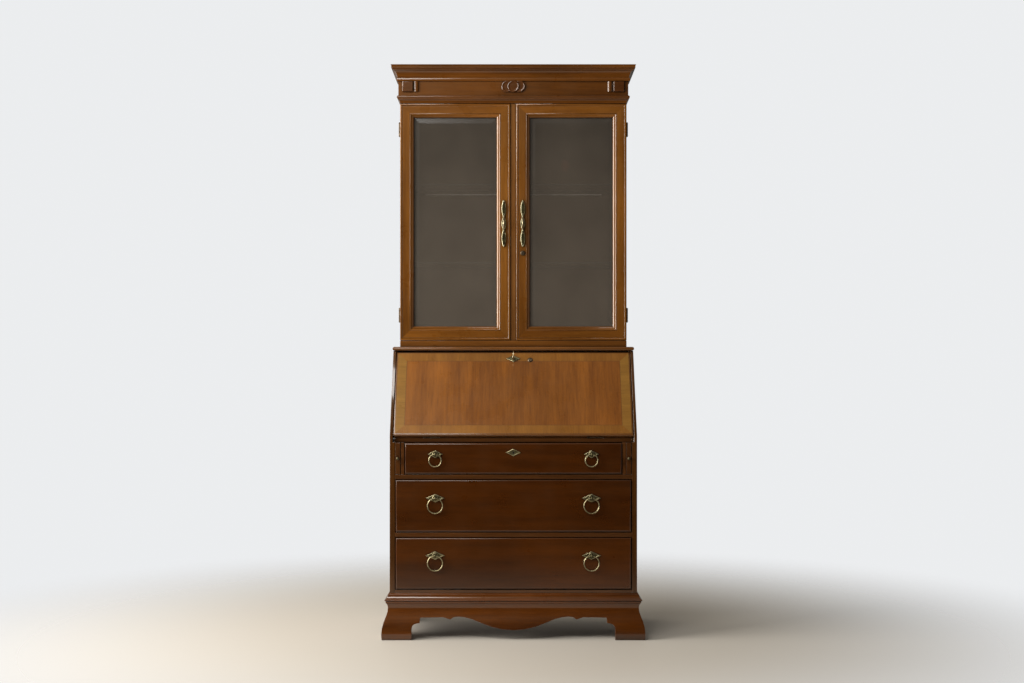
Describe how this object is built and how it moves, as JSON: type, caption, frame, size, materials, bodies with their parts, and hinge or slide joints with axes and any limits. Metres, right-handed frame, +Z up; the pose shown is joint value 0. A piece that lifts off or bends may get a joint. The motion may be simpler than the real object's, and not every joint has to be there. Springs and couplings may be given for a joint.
{
  "type": "secretary desk",
  "caption": "Slant-front secretary desk with a fall-down writing front, full-width drawers, pull-out supports and a glazed hutch above.",
  "frame": {"origin": "on the floor, at the middle of the box round the desk", "axes": "+Z up, +X to the right of someone facing the desk, front towards -Y"},
  "size_m": [0.96, 0.4884, 2.1302],
  "materials": {
    "case_wood": "satin varnish over brown stain",
    "inner_wood": "thin varnish",
    "drawer_wood": "satin varnish over dark stain",
    "fall_veneer": "polished figured veneer with lighter crossbanding",
    "brass": "aged, softly polished",
    "glass": "clear, polished"
  },
  "bodies": {
    "case": {"bracket_base": "case_wood", "base_moulding": "case_wood", "left_side": "case_wood", "right_side": "case_wood", "bottom_board": "case_wood", "lower_drawer_rail": "case_wood", "upper_drawer_rail": "case_wood", "writing_board": "case_wood", "loper_frame": "case_wood", "top_board": "case_wood", "hutch_bottom": "case_wood", "hutch_left_side": "case_wood", "hutch_right_side": "case_wood", "centre_stile": "case_wood", "cornice": "case_wood", "back_panel": "inner_wood", "hutch_back": "inner_wood", "gallery": "inner_wood", "glass_shelf_lower": "glass", "glass_shelf_upper": "glass", "fall_hinge_left": "brass", "fall_hinge_right": "brass", "left_door_hinge_lower": "brass", "left_door_hinge_upper": "brass", "right_door_hinge_lower": "brass", "right_door_hinge_upper": "brass"},
    "left_door": {"left_door_frame": "case_wood", "left_glass": "glass", "left_door_pull": "brass"},
    "right_door": {"right_door_frame": "case_wood", "right_glass": "glass", "right_door_pull": "brass", "door_lock": "brass"},
    "fall": {"fall_front": "fall_veneer", "fall_escutcheon": "brass", "fall_lock": "brass"},
    "key": {"fall_key": "brass"},
    "left_loper": {"left_loper": "case_wood"},
    "right_loper": {"right_loper": "case_wood"},
    "top_drawer": {"top_drawer_front": "drawer_wood", "top_drawer_box": "inner_wood", "drawer_escutcheon": "brass", "top_left_pull_plate": "brass", "top_right_pull_plate": "brass"},
    "middle_drawer": {"middle_drawer_front": "drawer_wood", "middle_drawer_box": "inner_wood", "middle_left_pull_plate": "brass", "middle_right_pull_plate": "brass"},
    "bottom_drawer": {"bottom_drawer_front": "drawer_wood", "bottom_drawer_box": "inner_wood", "bottom_left_pull_plate": "brass", "bottom_right_pull_plate": "brass"},
    "gallery_drawer_left": {"gallery_drawer_left": "drawer_wood"},
    "gallery_drawer_right": {"gallery_drawer_right": "drawer_wood"},
    "top_left_pull_ring": {"top_left_pull_ring": "brass"},
    "top_right_pull_ring": {"top_right_pull_ring": "brass"},
    "middle_left_pull_ring": {"middle_left_pull_ring": "brass"},
    "middle_right_pull_ring": {"middle_right_pull_ring": "brass"},
    "bottom_left_pull_ring": {"bottom_left_pull_ring": "brass"},
    "bottom_right_pull_ring": {"bottom_right_pull_ring": "brass"}
  },
  "joints": [
    {"name": "left_door_hinge", "type": "hinge", "parent": "case", "child": "left_door", "pos_m": [-0.4316, -0.0102, 1.5416], "axis": [0, 0, -1], "range_deg": [0, 110]},
    {"name": "right_door_hinge", "type": "hinge", "parent": "case", "child": "right_door", "pos_m": [0.4316, -0.0102, 1.5416], "axis": [0, 0, 1], "range_deg": [0, 110]},
    {"name": "fall_hinge", "type": "hinge", "parent": "case", "child": "fall", "pos_m": [0, -0.20074, 0.735], "axis": [1, 0, 0], "range_deg": [0, 118]},
    {"name": "key_turn", "type": "hinge", "parent": "fall", "child": "key", "pos_m": [0, -0.06646, 1.02376], "axis": [0, -0.8829, 0.4695], "range_deg": [-90, 90]},
    {"name": "left_loper_slide", "type": "slide", "parent": "case", "child": "left_loper", "axis": [0, -1, 0], "range_m": [0, 0.29]},
    {"name": "right_loper_slide", "type": "slide", "parent": "case", "child": "right_loper", "axis": [0, -1, 0], "range_m": [0, 0.29]},
    {"name": "top_drawer_slide", "type": "slide", "parent": "case", "child": "top_drawer", "axis": [0, -1, 0], "range_m": [0, 0.25]},
    {"name": "middle_drawer_slide", "type": "slide", "parent": "case", "child": "middle_drawer", "axis": [0, -1, 0], "range_m": [0, 0.34]},
    {"name": "bottom_drawer_slide", "type": "slide", "parent": "case", "child": "bottom_drawer", "axis": [0, -1, 0], "range_m": [0, 0.34]},
    {"name": "gallery_drawer_left_slide", "type": "slide", "parent": "case", "child": "gallery_drawer_left", "axis": [0, -1, 0], "range_m": [0, 0.12]},
    {"name": "gallery_drawer_right_slide", "type": "slide", "parent": "case", "child": "gallery_drawer_right", "axis": [0, -1, 0], "range_m": [0, 0.12]},
    {"name": "top_left_pull_swing", "type": "hinge", "parent": "top_drawer", "child": "top_left_pull_ring", "pos_m": [-0.285, -0.22965, 0.67425], "axis": [-1, 0, 0], "range_deg": [0, 95]},
    {"name": "top_right_pull_swing", "type": "hinge", "parent": "top_drawer", "child": "top_right_pull_ring", "pos_m": [0.285, -0.22965, 0.67425], "axis": [-1, 0, 0], "range_deg": [0, 95]},
    {"name": "middle_left_pull_swing", "type": "hinge", "parent": "middle_drawer", "child": "middle_left_pull_ring", "pos_m": [-0.285, -0.22965, 0.514], "axis": [-1, 0, 0], "range_deg": [0, 95]},
    {"name": "middle_right_pull_swing", "type": "hinge", "parent": "middle_drawer", "child": "middle_right_pull_ring", "pos_m": [0.285, -0.22965, 0.514], "axis": [-1, 0, 0], "range_deg": [0, 95]},
    {"name": "bottom_left_pull_swing", "type": "hinge", "parent": "bottom_drawer", "child": "bottom_left_pull_ring", "pos_m": [-0.285, -0.22965, 0.30475], "axis": [-1, 0, 0], "range_deg": [0, 95]},
    {"name": "bottom_right_pull_swing", "type": "hinge", "parent": "bottom_drawer", "child": "bottom_right_pull_ring", "pos_m": [0.285, -0.22965, 0.30475], "axis": [-1, 0, 0], "range_deg": [0, 95]}
  ]
}
